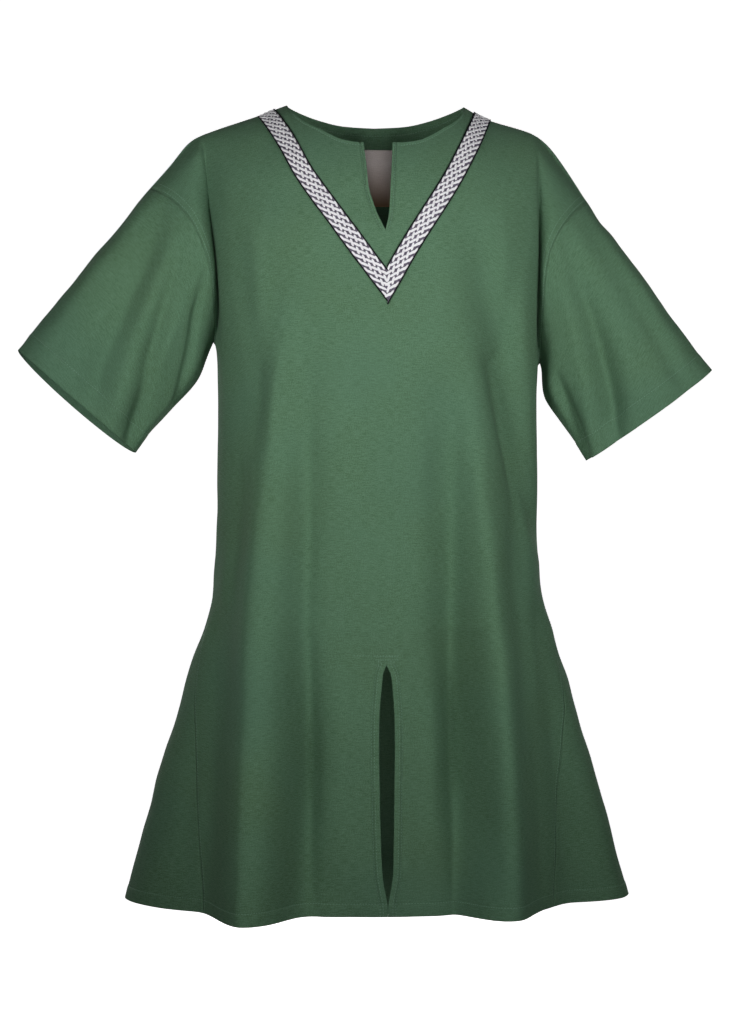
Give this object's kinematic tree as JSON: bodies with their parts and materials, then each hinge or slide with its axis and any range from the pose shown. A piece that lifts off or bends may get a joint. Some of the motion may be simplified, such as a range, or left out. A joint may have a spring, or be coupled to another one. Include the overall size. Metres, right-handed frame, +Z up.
{
  "type": "viking shirt",
  "caption": "Knee-length wide tunic with short sleeves, round slit neck under a V of woven braid, side gores and a front hem slit, worn and filled out.",
  "frame": {"origin": "midway between the two points where the shoulder seams meet the neckline, where the wearer's shoulders carry it", "axes": "+Z up along the body, -Y out of the chest, +X to the right as seen from the front"},
  "size_m": [0.7921, 0.4344, 0.9436],
  "materials": {
    "green_cotton": "matt fine twill",
    "braid_weave": "plaited white and grey yarn with black edges",
    "label_weave": "smooth woven tape, bare"
  },
  "bodies": {
    "root": {"front": "green_cotton", "back": "green_cotton", "sleeve_left": "green_cotton", "sleeve_right": "green_cotton", "gore_left": "green_cotton", "gore_right": "green_cotton", "neck_braid": "braid_weave", "neck_label": "label_weave"}
  },
  "joints": []
}
